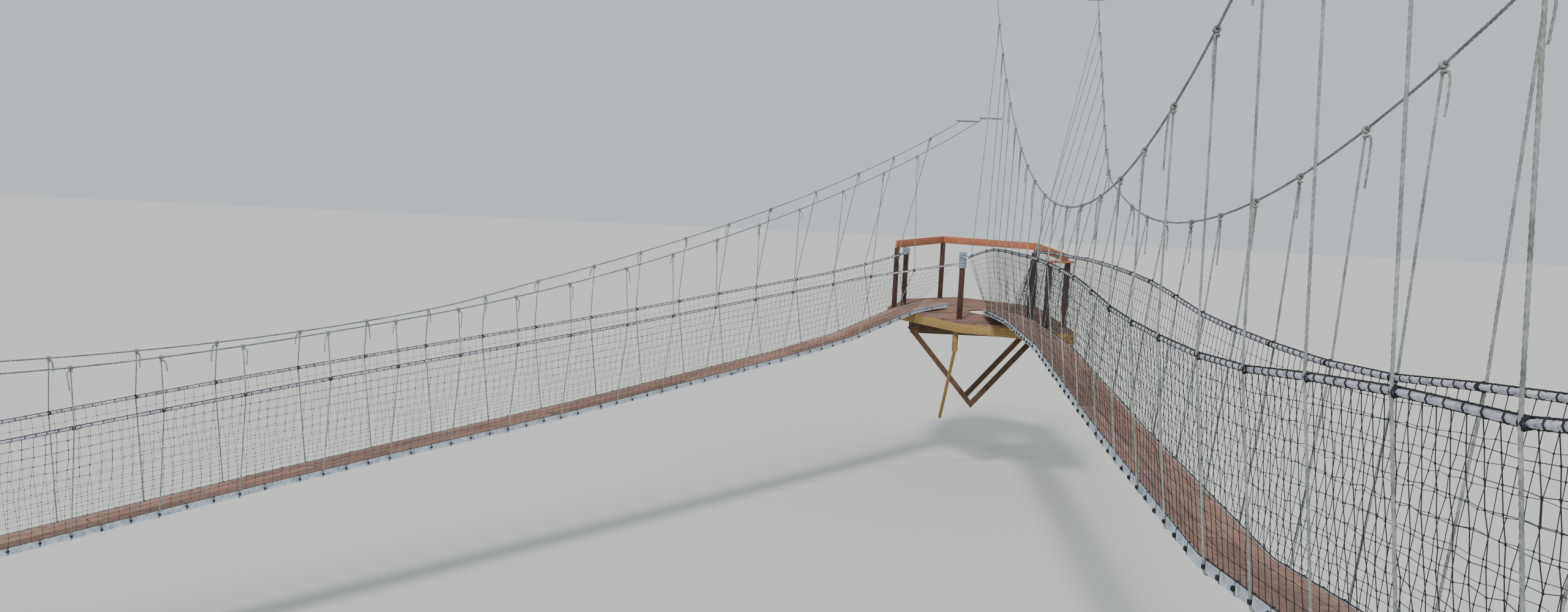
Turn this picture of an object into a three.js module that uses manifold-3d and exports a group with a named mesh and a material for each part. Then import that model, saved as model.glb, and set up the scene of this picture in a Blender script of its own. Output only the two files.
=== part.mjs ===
// Rope suspension footbridge: two rope spans that meet on a timber platform round a standing trunk.
// Millimetres. X runs to the right, Y away from the viewer and Z up. The origin is the centre of the
// flat face with which the front bearer bolts to the trunk.
import * as THREE from "three";
import { mergeVertices } from "three/addons/utils/BufferGeometryUtils.js";
import Module from "manifold-3d";

const wasm = await Module();
wasm.setup();

// Clearance between pieces that touch.
const GAP = 0.3;

// Platform: levels, timber sizes and plan.
const BEARER_HEIGHT = 200;
const BEARER_THICK = 60;
const JOIST_HEIGHT = 170;
const JOIST_THICK = 45;
const FLOOR_THICK = 30;
const FLOOR_TOP = BEARER_HEIGHT / 2 + JOIST_HEIGHT + FLOOR_THICK;
const FLOOR_BOARD = 140;
const FLOOR_GROOVE = { width: 5, depth: 20 };
const FASCIA = { height: 160, thick: 35 };
const TRUNK = { x: 0, y: 350, radius: 350, hole: 400 };
const FLOOR_OUTLINE = [
  [-770, -1270],
  [1080, -2060],
  [1160, 1650],
  [-270, 2790],
  [-1400, 2000],
  [-1900, 470],
];
const FRONT_BEARER = { from: -1500, to: 1040, y: -BEARER_THICK };
const BACK_BEARER = { from: -1450, to: 1050, y: 2 * TRUNK.y };
const JOISTS = [-1300, -430, 430, 950];
const V_BRACE = { foot: [-300, -1400], left: -1420, right: 800, width: 90 };
const CORNER_STUB = { x: -800, y: -1000, size: 90, bottom: -260 };
const CORNER_BRACE = { x: -860, y: -40, z: -1680, width: 70, thick: 50 };

// Posts: plan position and height over the floor.
const POST = 90;
const POSTS = {
  post_left_outer: { x: -1785, y: 430, height: 1130 },
  post_left_entry: { x: -1590, y: 640, height: 1130 },
  post_front_entry: { x: -730, y: -840, height: 1190 },
  post_back: { x: -670, y: 2430, height: 1130 },
  post_back_right: { x: 1060, y: 1560, height: 1130 },
  post_right_entry: { x: 540, y: -750, height: 1100 },
  post_right_front: { x: 660, y: -1530, height: 1130 },
  post_right_corner: { x: 1020, y: -1300, height: 1130 },
};
const WRAP = { thick: 28, left: 140, front: 280 };
const TOP_RAIL = { height: 140, thick: 35 };
const CAP_BOARD = { from: [600, -1530], to: [1120, -1360], width: 110, thick: 30 };

// Ladders that carry the deck, laid end to end.
const LADDER_WIDTH = 456;
const RAIL = { height: 70, flange: 20, wall: 3 };
const RUNG = 28;
const RUNG_PITCH = 280;
const RUNG_END = 200;
const HANGER_EVERY = 3;
const HANGER_FIRST = 1;
const LADDER_REST = { clearance: 1, endLift: 55 };
const PLANK = { width: 135, thick: 22, groove: 4, depth: 14 };

// Ropes and netting, as widths of the solid core. A hanger's foot hooks under the ladder's rail.
const MAIN_ROPE = 16;
const HANGER = 11;
const HOOK = 19;
const HANDRAIL_RADIUS = 14;
const NET = { strand: 12, thick: 6, rows: 2, inset: 8, seat: 0.9 };
const SLING = { radius: 210, sides: 8 };

// Smooth step from 0 to 1 between two values.
const ease = (value, from, to) => THREE.MathUtils.smoothstep(value, from, to);
const metres = (value) => value / 1000;

// The two spans. Distances run along the deck in metres of plan from the span's datum, heights are in
// metres over the origin, and outset is how far a rope hangs outside the deck's edge. The inner side of
// a span faces the other span.
const SPANS = {
  left: {
    end: [-933, 604],
    heading: 43.754,
    innerSide: -1,
    first: -10.71,
    rungs: [15, 15, 15, 15, 14, 5, 6, 3],
    deck: (t) => (t < 0 ? -1.11 + 0.0984 * t + 0.004 * t ** 2
      : -1.11 + 0.0984 * t - 0.005135 * t ** 2 + 0.000368 * t ** 3),
    restFrom: 13.9,
    handrail: (t) => 1.122 - 0.11 * ease(t, 9, 14),
    inner: {
      handrailOutset: (t) => 180 + 640 * ease(t, 12, 14.1) ** 1.5,
      handrailPost: "post_front_entry",
      main: (t) => 0.61 + 0.0147 * (t - 0.3) ** 2 + 0.095 * ease(t, -1, 3.5),
      mainOutset: (t) => 140 + 300 * ease(t, 7, 15),
      mainEnd: 15.05,
    },
    outer: {
      handrailOutset: () => 180,
      handrailPost: "post_left_entry",
      main: (t) => 0.61 + 0.0147 * (t - 0.3) ** 2 + 0.06 * ease(t, 4.4, 6.4),
      mainOutset: (t) => 140 - 560 * ease(t, 7, 15.2),
      mainEnd: 15.0,
    },
  },
  right: {
    end: [-13, -347],
    heading: 4.328,
    innerSide: 1,
    first: -2.16,
    rungs: [14, 12, 14, 12, 7, 6],
    deck: (t) => 1.004 - 0.1066 * t + 0.01786 * t ** 2 - 0.00083 * t ** 3
      - 0.06 * ease(t, -0.5, 1.5) * (1 - ease(t, 4, 6))
      - 0.07 * ease(t, 9.2, 13) + 0.03 * ease(t, 13, 15),
    restFrom: 16.7,
    handrail: (t) => 1.1 + 0.1 * ease(t, -2.4, -0.4) - 0.2 * ease(t, 5.5, 12)
      + 0.035 * ease(t, 10, 12.5) - 0.04 * ease(t, 14, 16.5),
    inner: {
      handrailOutset: (t) => 130 + 240 * ease(t, 14, 16.3) ** 1.5,
      handrailPost: "post_front_entry",
      main: (t) => 2.65 + 0.038 * (t - 7.2) ** 2,
      mainOutset: (t) => 120 + 3.5 * Math.max(0, 6.5 - t) ** 2,
      mainEnd: 16.75,
    },
    outer: {
      handrailOutset: (t) => 100 + 220 * ease(t, 14, 16.4) ** 1.5,
      handrailPost: "post_right_entry",
      main: (t) => (t < 6.4 ? 2.58 + 0.0325 * (t - 6.4) ** 2
        : t < 11.76 ? 2.58 + 0.044 * (t - 6.4) ** 2
          : 3.844 + 0.46 * (t - 11.76)),
      mainOutset: (t) => 180 + 60 * ease(t, 5, 9) + 125 * Math.max(0, t - 9.2),
      mainEnd: 16.5,
    },
  },
};

const COLOURS = {
  aluminium: { color: 0x9db4c8, roughness: 0.55, metalness: 0.6 },
  plank: { color: 0x8c6a5c, roughness: 0.85, metalness: 0 },
  rope: { color: 0x8f948c, roughness: 0.9, metalness: 0 },
  handrail: { color: 0xa9b0c4, roughness: 0.8, metalness: 0 },
  net: { color: 0x14161a, roughness: 0.9, metalness: 0 },
  floor: { color: 0x86604f, roughness: 0.9, metalness: 0 },
  fascia: { color: 0xb58a45, roughness: 0.8, metalness: 0 },
  post: { color: 0x3d221c, roughness: 0.85, metalness: 0 },
  rail: { color: 0xa0532b, roughness: 0.8, metalness: 0 },
  wrap: { color: 0x7c8894, roughness: 0.8, metalness: 0 },
};

const bridge = new THREE.Group();

// Adds a named mesh to a group.
function piece(group, name, geometry, finish) {
  geometry.computeVertexNormals();
  const mesh = new THREE.Mesh(geometry, new THREE.MeshStandardMaterial(COLOURS[finish]));
  mesh.name = name;
  group.add(mesh);
  return mesh;
}

// Closed body through a row of rings, each a list of points in the same order round the path.
function loft(rings) {
  const sides = rings[0].length;
  const positions = rings.flat().flatMap((point) => [point.x, point.y, point.z]);
  const triangles = [];
  for (let ring = 0; ring + 1 < rings.length; ring += 1) {
    for (let side = 0; side < sides; side += 1) {
      const next = (side + 1) % sides;
      const a = ring * sides + side;
      const b = ring * sides + next;
      const c = b + sides;
      const d = a + sides;
      triangles.push(a, b, c, a, c, d);
    }
  }
  const last = (rings.length - 1) * sides;
  for (const [a, b, c] of capTriangles(rings[0])) {
    triangles.push(a, c, b);
    triangles.push(last + a, last + b, last + c);
  }
  const geometry = new THREE.BufferGeometry();
  geometry.setAttribute("position", new THREE.Float32BufferAttribute(positions, 3));
  geometry.setIndex(signedVolume(positions, triangles) < 0 ? turned(triangles) : triangles);
  return geometry;
}

// Triangles of a flat ring, wound along the ring's own order.
function capTriangles(ring) {
  const normal = new THREE.Vector3();
  ring.forEach((point, i) => {
    normal.add(new THREE.Vector3().crossVectors(point, ring[(i + 1) % ring.length]));
  });
  normal.normalize();
  const helper = Math.abs(normal.z) < 0.9 ? new THREE.Vector3(0, 0, 1) : new THREE.Vector3(1, 0, 0);
  const across = new THREE.Vector3().crossVectors(helper, normal).normalize();
  const up = new THREE.Vector3().crossVectors(normal, across);
  const flat = ring.map((point) => new THREE.Vector2(point.dot(across), point.dot(up)));
  return THREE.ShapeUtils.triangulateShape(flat, []);
}

function turned(triangles) {
  const out = [];
  for (let i = 0; i < triangles.length; i += 3) {
    out.push(triangles[i], triangles[i + 2], triangles[i + 1]);
  }
  return out;
}

function signedVolume(positions, triangles) {
  const corner = (i) => new THREE.Vector3().fromArray(positions, 3 * i);
  let volume = 0;
  for (let i = 0; i < triangles.length; i += 3) {
    const [a, b, c] = [corner(triangles[i]), corner(triangles[i + 1]), corner(triangles[i + 2])];
    volume += a.dot(b.cross(c)) / 6;
  }
  return volume;
}

// Solid of a closed geometry, and back.
function solidOf(geometry) {
  const bare = new THREE.BufferGeometry();
  bare.setAttribute("position", geometry.getAttribute("position"));
  bare.setIndex(geometry.index);
  const merged = mergeVertices(bare, 1e-4);
  return new wasm.Manifold(new wasm.Mesh({
    numProp: 3,
    vertProperties: new Float32Array(merged.getAttribute("position").array),
    triVerts: new Uint32Array(merged.index.array),
  }));
}

function geometryOf(solid) {
  const mesh = solid.getMesh();
  const geometry = new THREE.BufferGeometry();
  geometry.setAttribute("position", new THREE.BufferAttribute(mesh.vertProperties, 3));
  geometry.setIndex(new THREE.BufferAttribute(mesh.triVerts, 1));
  return geometry;
}

const joined = (geometries) => geometryOf(
  geometries.map(solidOf).reduce((sum, next) => sum.add(next)),
);

const at = (x, y, z) => new THREE.Vector3(x, y, z);

// Upright prism over a plan outline.
const upright = (outline, bottom, top) => loft([
  outline.map(([x, y]) => at(x, y, bottom)),
  outline.map(([x, y]) => at(x, y, top)),
]);

const box = (x, y, z) => upright([[x[0], y[0]], [x[1], y[0]], [x[1], y[1]], [x[0], y[1]]], z[0], z[1]);

// Plan outline moved inwards, or outwards for a negative distance; the outline runs anticlockwise.
function insetOutline(outline, distance) {
  return outline.map((corner, i) => {
    const before = outline[(i + outline.length - 1) % outline.length];
    const after = outline[(i + 1) % outline.length];
    return insetCorner(before, corner, after, distance);
  });
}

function insetCorner(before, corner, after, distance) {
  const inward = (a, b) => {
    const length = Math.hypot(b[0] - a[0], b[1] - a[1]);
    return [-(b[1] - a[1]) / length, (b[0] - a[0]) / length];
  };
  const [n1, n2] = [inward(before, corner), inward(corner, after)];
  const scale = distance / (1 + n1[0] * n2[0] + n1[1] * n2[1]);
  return [corner[0] + (n1[0] + n2[0]) * scale, corner[1] + (n1[1] + n2[1]) * scale];
}

// A point on the line from a to b, a distance from a.
function along(a, b, distance) {
  const length = Math.hypot(b[0] - a[0], b[1] - a[1]);
  return [a[0] + (b[0] - a[0]) * distance / length, a[1] + (b[1] - a[1]) * distance / length];
}

// Board that follows one side of an outline, mitred at both ends.
function mitredBoard(outer, inner, bottom, top) {
  const outline = [
    along(outer[0], outer[1], GAP),
    along(outer[1], outer[0], GAP),
    along(inner[1], inner[0], GAP),
    along(inner[0], inner[1], GAP),
  ];
  return upright(outline, bottom, top);
}

// Where the line x = const crosses the floor outline, from front to back.
function crossings(x, outline) {
  const found = [];
  outline.forEach((a, i) => {
    const b = outline[(i + 1) % outline.length];
    if ((a[0] - x) * (b[0] - x) < 0) {
      found.push(a[1] + (b[1] - a[1]) * (x - a[0]) / (b[0] - a[0]));
    }
  });
  return found.sort((p, q) => p - q);
}

function buildFloor() {
  const bottom = FLOOR_TOP - FLOOR_THICK;
  const grooveFloor = FLOOR_TOP - FLOOR_GROOVE.depth;
  const front = -2 * FLOOR_BOARD * 8;
  const boards = 36;
  const profile = [[front, bottom], [front + boards * FLOOR_BOARD, bottom]];
  for (let board = boards; board > 0; board -= 1) {
    const far = front + board * FLOOR_BOARD;
    const near = far - FLOOR_BOARD + FLOOR_GROOVE.width;
    profile.push([far, FLOOR_TOP], [near, FLOOR_TOP], [near, grooveFloor]);
    profile.push([near - FLOOR_GROOVE.width, grooveFloor]);
  }
  const planking = loft([-2500, 2500].map((x) => profile.map(([y, z]) => at(x, y, z))));
  const outline = upright(FLOOR_OUTLINE, bottom - 10, FLOOR_TOP + 10);
  const hole = new THREE.CylinderGeometry(TRUNK.hole, TRUNK.hole, 100, 24);
  hole.rotateX(Math.PI / 2);
  hole.translate(TRUNK.x, TRUNK.y, FLOOR_TOP);
  hole.deleteAttribute("normal");
  hole.deleteAttribute("uv");
  const floor = solidOf(planking).intersect(solidOf(outline)).subtract(solidOf(hole));
  piece(bridge, "platform_floor", geometryOf(floor), "floor");
}

function buildFascias() {
  const top = FLOOR_TOP - FLOOR_THICK - GAP;
  const names = ["front_right", "right", "back_right", "back_left", "left", "front_left"];
  const inner = insetOutline(FLOOR_OUTLINE, FASCIA.thick);
  names.forEach((name, i) => {
    const next = (i + 1) % names.length;
    const outerSide = [FLOOR_OUTLINE[i], FLOOR_OUTLINE[next]];
    const innerSide = [inner[i], inner[next]];
    const board = mitredBoard(outerSide, innerSide, top - FASCIA.height, top);
    piece(bridge, `fascia_${name}`, board, "fascia");
  });
}

function buildBearersAndJoists() {
  const half = BEARER_HEIGHT / 2;
  const bearer = ({ from, to, y }) => box([from, to], [y, y + BEARER_THICK], [-half, half]);
  piece(bridge, "bearer_front", bearer(FRONT_BEARER), "fascia");
  piece(bridge, "bearer_back", bearer(BACK_BEARER), "fascia");
  const inside = insetOutline(FLOOR_OUTLINE, FASCIA.thick + 20);
  JOISTS.forEach((x, i) => {
    const sides = [x - JOIST_THICK / 2, x + JOIST_THICK / 2];
    const ends = sides.map((side) => crossings(side, inside));
    const front = Math.max(ends[0][0], ends[1][0]);
    const back = Math.min(ends[0][1], ends[1][1]);
    const levels = [half + GAP, half + JOIST_HEIGHT - GAP];
    piece(bridge, `joist_${i + 1}`, box(sides, [front, back], levels), "floor");
  });
}

// Two raking arms that meet at a point on the trunk and carry a bearer's ends.
function braceGeometry(y) {
  const [footX, footZ] = V_BRACE.foot;
  const top = -BEARER_HEIGHT / 2 - GAP;
  const arm = (headX) => {
    const rise = top - footZ;
    const run = headX - footX;
    const length = Math.hypot(rise, run);
    const halfHead = (V_BRACE.width / 2) * length / rise;
    const halfFoot = (V_BRACE.width / 2) * length / Math.abs(run);
    const outward = Math.sign(run);
    const section = [
      [footX - outward, footZ + halfFoot],
      [footX - outward, footZ - halfFoot],
      [headX + outward * halfHead, top],
      [headX - outward * halfHead, top],
    ];
    return loft([y, y + BEARER_THICK].map((depth) => section.map(([x, z]) => at(x, depth, z))));
  };
  return joined([arm(V_BRACE.left), arm(V_BRACE.right)]);
}

function buildBraces() {
  piece(bridge, "v_brace_front", braceGeometry(FRONT_BEARER.y), "post");
  piece(bridge, "v_brace_back", braceGeometry(BACK_BEARER.y), "post");
  const { x, y, size, bottom } = CORNER_STUB;
  const sides = (centre) => [centre - size / 2, centre + size / 2];
  const stubTop = FLOOR_TOP - FLOOR_THICK - GAP;
  piece(bridge, "corner_stub", box(sides(x), sides(y), [bottom, stubTop]), "fascia");
  const head = at(x, y, bottom - GAP);
  const foot = at(CORNER_BRACE.x, CORNER_BRACE.y, CORNER_BRACE.z);
  const ring = (centre) => [[-1, -1], [1, -1], [1, 1], [-1, 1]].map(([i, j]) => at(
    centre.x + i * CORNER_BRACE.thick / 2, centre.y + j * CORNER_BRACE.width / 2, centre.z,
  ));
  piece(bridge, "corner_brace", loft([ring(foot), ring(head)]), "fascia");
}

function buildPosts() {
  const square = (x, y, half) => [
    [x - half, y - half],
    [x + half, y - half],
    [x + half, y + half],
    [x - half, y + half],
  ];
  for (const [name, { x, y, height }] of Object.entries(POSTS)) {
    const levels = [FLOOR_TOP + GAP, FLOOR_TOP + height];
    piece(bridge, name, upright(square(x, y, POST / 2), ...levels), "post");
  }
  for (const [name, postName, height] of [
    ["rope_wrap_left", "post_left_entry", WRAP.left],
    ["rope_wrap_front", "post_front_entry", WRAP.front],
  ]) {
    const { x, y, height: postHeight } = POSTS[postName];
    const top = FLOOR_TOP + postHeight;
    const outer = upright(square(x, y, POST / 2 + WRAP.thick), top - height, top);
    const inner = upright(square(x, y, POST / 2 + GAP), top - height - 5, top + 5);
    piece(bridge, name, geometryOf(solidOf(outer).subtract(solidOf(inner))), "wrap");
  }
}

function buildTopRails() {
  const corners = ["post_left_outer", "post_back", "post_back_right", "post_right_corner"];
  const line = corners.map((name) => [POSTS[name].x, POSTS[name].y]);
  line[0] = along(line[0], line[1], -POST / 2);
  const shifted = (distance) => line.map((point, i) => {
    const before = line[i - 1] ?? along(point, line[i + 1], -1000);
    const after = line[i + 1] ?? along(point, line[i - 1], -1000);
    return insetCorner(before, point, after, distance);
  });
  const [oneSide, otherSide] = [shifted(TOP_RAIL.thick / 2), shifted(-TOP_RAIL.thick / 2)];
  const bottom = FLOOR_TOP + POSTS.post_back.height + GAP;
  ["left", "back", "right"].forEach((name, i) => {
    const sideA = [oneSide[i], oneSide[i + 1]];
    const sideB = [otherSide[i], otherSide[i + 1]];
    piece(bridge, `top_rail_${name}`, mitredBoard(sideA, sideB, bottom, bottom + TOP_RAIL.height), "rail");
  });
  const { from, to, width, thick } = CAP_BOARD;
  const length = Math.hypot(to[0] - from[0], to[1] - from[1]);
  const cap = box([0, length], [-width / 2, width / 2], [bottom, bottom + thick]);
  cap.rotateZ(Math.atan2(to[1] - from[1], to[0] - from[0]));
  cap.translate(from[0], from[1], 0);
  piece(bridge, "cap_board", cap, "rail");
}

// One span's deck line: where its ladders start and end, how high it lies, and its rungs.
function deckLine(span) {
  const lengths = span.rungs.map((count) => count * RUNG_PITCH + 2 * RUNG_END - RUNG_PITCH);
  const joints = [0];
  lengths.forEach((length) => joints.push(joints.at(-1) + length));
  const restHeight = FLOOR_TOP + LADDER_REST.clearance + RAIL.height;
  const heights = joints.map((s) => {
    const t = span.first + metres(s);
    return t > span.restFrom ? restHeight : 1000 * span.deck(t);
  });
  heights[heights.length - 1] = restHeight + LADDER_REST.endLift;
  const rungs = span.rungs.flatMap((count, ladder) => Array.from(
    { length: count },
    (_, i) => joints[ladder] + RUNG_END + i * RUNG_PITCH,
  ));
  const ladderAt = (s) => {
    const found = joints.findIndex((joint, i) => s >= joint && s <= joints[i + 1]);
    return found < 0 ? (s < 0 ? 0 : lengths.length - 1) : found;
  };
  const slopeAt = (s) => {
    const i = ladderAt(s);
    return (heights[i + 1] - heights[i]) / (joints[i + 1] - joints[i]);
  };
  const height = (s) => heights[ladderAt(s)] + slopeAt(s) * (s - joints[ladderAt(s)]);
  return { joints, rungs, height, slopeAt, length: joints.at(-1) };
}

// Ladder: two channel rails that open outwards, joined by its rungs.
function ladderGeometry(deck, index, rungs) {
  const [from, to] = [deck.joints[index] + GAP / 2, deck.joints[index + 1] - GAP / 2];
  const middle = (from + to) / 2;
  const slope = deck.slopeAt(middle);
  const height = (s) => deck.height(middle) + slope * (s - middle);
  const outer = LADDER_WIDTH / 2;
  const web = outer - RAIL.flange;
  const { wall } = RAIL;
  const section = [
    [web, 0], [outer, 0], [outer, -wall], [web + wall, -wall],
    [web + wall, wall - RAIL.height], [outer, wall - RAIL.height], [outer, -RAIL.height], [web, -RAIL.height],
  ];
  const rail = (side) => loft([from, to].map((s) => section.map(([y, z]) => at(s, side * y, height(s) + z))));
  const rung = (s) => {
    const reach = web + wall / 2;
    const ends = [-reach, reach];
    return loft(ends.map((y) => [[-1, -1], [1, -1], [1, 1], [-1, 1]].map(([i, j]) => {
      const x = s + i * RUNG / 2;
      return at(x, y, height(x) - RAIL.height / 2 + j * RUNG / 2);
    })));
  };
  return joined([rail(1), rail(-1), ...rungs.map(rung)]);
}

// Planks laid along the ladders on their rungs, side by side over the whole span.
function planksGeometry(deck) {
  const { width, thick, groove, depth } = PLANK;
  const pitch = width + groove;
  const half = (3 * width + 2 * groove) / 2;
  const section = [[-half, 0], [half, 0], [half, thick]];
  for (const edge of [half - width, half - width - pitch]) {
    section.push([edge, thick], [edge, thick - depth]);
    section.push([edge - groove, thick - depth], [edge - groove, thick]);
  }
  section.push([-half, thick]);
  const base = -RAIL.height / 2 + RUNG / 2 + GAP;
  return loft(deck.joints.map((s) => section.map(([y, z]) => at(s, y, deck.height(s) + base + z))));
}

// Square or round ring round a rope that runs along the span.
const ropeRing = (s, y, z, radius, sides, turn) => Array.from({ length: sides }, (_, i) => {
  const angle = turn + (2 * Math.PI * i) / sides;
  return at(s, y + radius * Math.cos(angle), z + radius * Math.sin(angle));
});

// Everything that one side of a span needs to place its ropes.
function sideOf(span, deck, settings, sign) {
  const edge = LADDER_WIDTH / 2;
  const t = (s) => span.first + metres(s);
  const handrail = (s) => ({
    out: settings.handrailOutset(t(s)),
    z: 1000 * (span.deck(t(s)) + span.handrail(t(s))),
  });
  const main = (s) => ({ out: settings.mainOutset(t(s)), z: 1000 * settings.main(t(s)) });
  const y = (out) => sign * (edge + out);
  return { handrail, main, y, sign, mainLength: 1000 * (settings.mainEnd - span.first) };
}

// Rope hanger: from the main rope, outside the handrail, down past the ladder and under its rail.
function hangerGeometry(side, deck, s) {
  const half = HANGER / 2;
  const hand = side.handrail(s);
  const top = side.main(s);
  const under = deck.height(s) - RAIL.height - GAP - half - half * Math.abs(deck.slopeAt(s));
  const leanIn = Math.max(0, (hand.out - top.out) / (top.z - hand.z));
  const leanDown = hand.out / (hand.z - under);
  const bay = RUNG_PITCH * HANGER_EVERY;
  const shift = (step) => Math.abs(side.handrail(s + step).out - hand.out);
  const flare = Math.max(shift(-bay), shift(bay)) / bay;
  const round = HANDRAIL_RADIUS * Math.hypot(1, Math.max(leanIn, leanDown) + 0.02);
  const clear = half + GAP + round + half * flare * 1.2;
  const level = (out, z) => [[-1, -1], [1, -1], [1, 1], [-1, 1]].map(([i, j]) => (
    at(s + i * half, side.y(out + j * half), z)
  ));
  const bend = [[-1, -1, 1], [1, -1, 1], [1, 1, -1], [-1, 1, -1]].map(([i, j, k]) => (
    at(s + i * half, side.y(half + GAP + j * half), under + k * half)
  ));
  const corners = [[-1, 1], [1, 1], [1, -1], [-1, -1]];
  const foot = corners.map(([i, k]) => at(s + i * half, side.y(-HOOK), under + k * half));
  return loft([level(top.out, top.z), level(hand.out + clear, hand.z), bend, foot]);
}

// Main rope with its hangers, and a sling at each end that goes round the limb or trunk that holds it.
function mainRopeGeometry(side, deck, hangers) {
  const radius = MAIN_ROPE / Math.SQRT2;
  const path = [-500, ...hangers, side.mainLength];
  const rope = loft(path.map((s) => {
    const { out, z } = side.main(s);
    return ropeRing(s, side.y(out), z, radius, 4, Math.PI / 4);
  }));
  const slings = [[-500, -1], [side.mainLength, 1]].map(([s, way]) => {
    const { out, z } = side.main(s);
    const sling = new THREE.TorusGeometry(SLING.radius, radius, 4, SLING.sides);
    sling.deleteAttribute("normal");
    sling.deleteAttribute("uv");
    sling.rotateZ(Math.PI / SLING.sides);
    sling.translate(s + way * SLING.radius * Math.cos(Math.PI / SLING.sides), side.y(out), z);
    return sling;
  });
  return joined([rope, ...slings, ...hangers.map((s) => hangerGeometry(side, deck, s))]);
}

// The handrail's place between its own stops, where the rope runs straight.
function straightHandrail(side, stops) {
  return (s) => {
    const i = Math.min(stops.length - 2, Math.max(0, stops.findIndex((stop) => stop > s) - 1));
    const [a, b] = [side.handrail(stops[i]), side.handrail(stops[i + 1])];
    const share = (s - stops[i]) / (stops[i + 1] - stops[i]);
    return { out: a.out + (b.out - a.out) * share, z: a.z + (b.z - a.z) * share };
  };
}

// Handrail rope, from the span's outer end to the face of its post on the platform.
function handrailGeometry(side, stops, end) {
  const rings = stops.map((s) => {
    const { out, z } = side.handrail(s);
    return ropeRing(s, side.y(out), z, HANDRAIL_RADIUS, 8, 0);
  });
  rings.push(end);
  return loft(rings);
}

// Side net between the ladder and the handrail: a sheet of strands with open meshes.
function netGeometry(side, deck, stops, handrail) {
  const half = NET.strand / 2;
  const across = [];
  stops.forEach((s, i) => {
    const first = i === 0;
    const last = i === stops.length - 1;
    across.push(first ? s : s - half, last ? s : s + half);
  });
  const up = [];
  for (let row = 0; row <= NET.rows; row += 1) {
    const fraction = row / NET.rows;
    up.push([fraction, row === 0 ? 0 : -1], [fraction, row === NET.rows ? 0 : 1]);
  }
  const point = (s, [fraction, step], face) => {
    const hand = handrail(s);
    const bottom = { out: -NET.inset, z: deck.height(s) + NET.seat };
    const top = { out: hand.out, z: hand.z - HANDRAIL_RADIUS - GAP };
    const rise = top.z - bottom.z;
    const edgeStep = fraction === 0 && step === 1 ? 2 : fraction === 1 && step === -1 ? -2 : step;
    const share = fraction + (edgeStep * half) / rise;
    const out = bottom.out + (top.out - bottom.out) * share + (face * NET.thick) / 2;
    return at(s, side.y(out), bottom.z + rise * share);
  };
  return perforatedSheet(across, up, point);
}

// Closed sheet over a grid of lines; the cells between every second pair of lines are open.
function perforatedSheet(across, up, point) {
  const positions = [];
  const number = new Map();
  const index = (i, j, face) => {
    const key = `${i},${j},${face}`;
    if (!number.has(key)) {
      number.set(key, positions.length / 3);
      positions.push(...point(across[i], up[j], face).toArray());
    }
    return number.get(key);
  };
  const solid = (i, j) => i >= 0 && j >= 0 && i < across.length - 1 && j < up.length - 1
    && (i % 2 === 0 || j % 2 === 0);
  const triangles = [];
  const quad = (a, b, c, d) => triangles.push(a, b, c, a, c, d);
  for (let i = 0; i < across.length - 1; i += 1) {
    for (let j = 0; j < up.length - 1; j += 1) {
      if (!solid(i, j)) continue;
      quad(index(i, j, 1), index(i + 1, j, 1), index(i + 1, j + 1, 1), index(i, j + 1, 1));
      quad(index(i, j, -1), index(i, j + 1, -1), index(i + 1, j + 1, -1), index(i + 1, j, -1));
      const wall = (a, b) => quad(index(...a, -1), index(...b, -1), index(...b, 1), index(...a, 1));
      if (!solid(i, j - 1)) wall([i, j], [i + 1, j]);
      if (!solid(i, j + 1)) wall([i + 1, j + 1], [i, j + 1]);
      if (!solid(i - 1, j)) wall([i, j + 1], [i, j]);
      if (!solid(i + 1, j)) wall([i + 1, j], [i + 1, j + 1]);
    }
  }
  const geometry = new THREE.BufferGeometry();
  geometry.setAttribute("position", new THREE.Float32BufferAttribute(positions, 3));
  geometry.setIndex(signedVolume(positions, triangles) < 0 ? turned(triangles) : triangles);
  return geometry;
}

function buildSpan(spanName, span) {
  const deck = deckLine(span);
  const heading = THREE.MathUtils.degToRad(90 - span.heading);
  const group = new THREE.Group();
  group.rotation.z = heading;
  group.position.set(
    span.end[0] - deck.length * Math.cos(heading),
    span.end[1] - deck.length * Math.sin(heading),
    0,
  );
  bridge.add(group);
  group.updateMatrixWorld(true);

  span.rungs.forEach((count, ladder) => {
    const [from, to] = [deck.joints[ladder], deck.joints[ladder + 1]];
    const rungs = deck.rungs.filter((s) => s > from && s < to);
    piece(group, `${spanName}_ladder_${ladder + 1}`, ladderGeometry(deck, ladder, rungs), "aluminium");
  });
  piece(group, `${spanName}_planks`, planksGeometry(deck), "plank");

  for (const [sideName, sign] of [["inner", span.innerSide], ["outer", -span.innerSide]]) {
    const side = sideOf(span, deck, span[sideName], sign);
    const post = POSTS[span[sideName].handrailPost];
    const wrapped = span[sideName].handrailPost === "post_right_entry" ? 0 : WRAP.thick;
    const face = group.worldToLocal(at(post.x, post.y, 0));
    const ringOnPost = postRing(group, side, face, post, POST / 2 + wrapped + GAP);
    const stop = Math.min(...ringOnPost.map((corner) => corner.x)) - 40;
    const hangers = deck.rungs.filter((s, i) => i % HANGER_EVERY === HANGER_FIRST && s < stop - 60);
    const inRange = (s) => s > 60 && s < stop - 60;
    const stops = [...new Set([...hangers, ...deck.joints.filter(inRange)])].sort((a, b) => a - b);
    const name = `${spanName}_${sideName}`;
    const railStops = [-500, ...stops, stop];
    const netStops = [30, ...stops, stop - 20];
    const handrail = straightHandrail(side, railStops);
    piece(group, `${name}_main_rope`, mainRopeGeometry(side, deck, hangers), "rope");
    piece(group, `${name}_handrail`, handrailGeometry(side, railStops, ringOnPost), "handrail");
    piece(group, `${name}_net`, netGeometry(side, deck, netStops, handrail), "net");
  }
}

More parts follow.
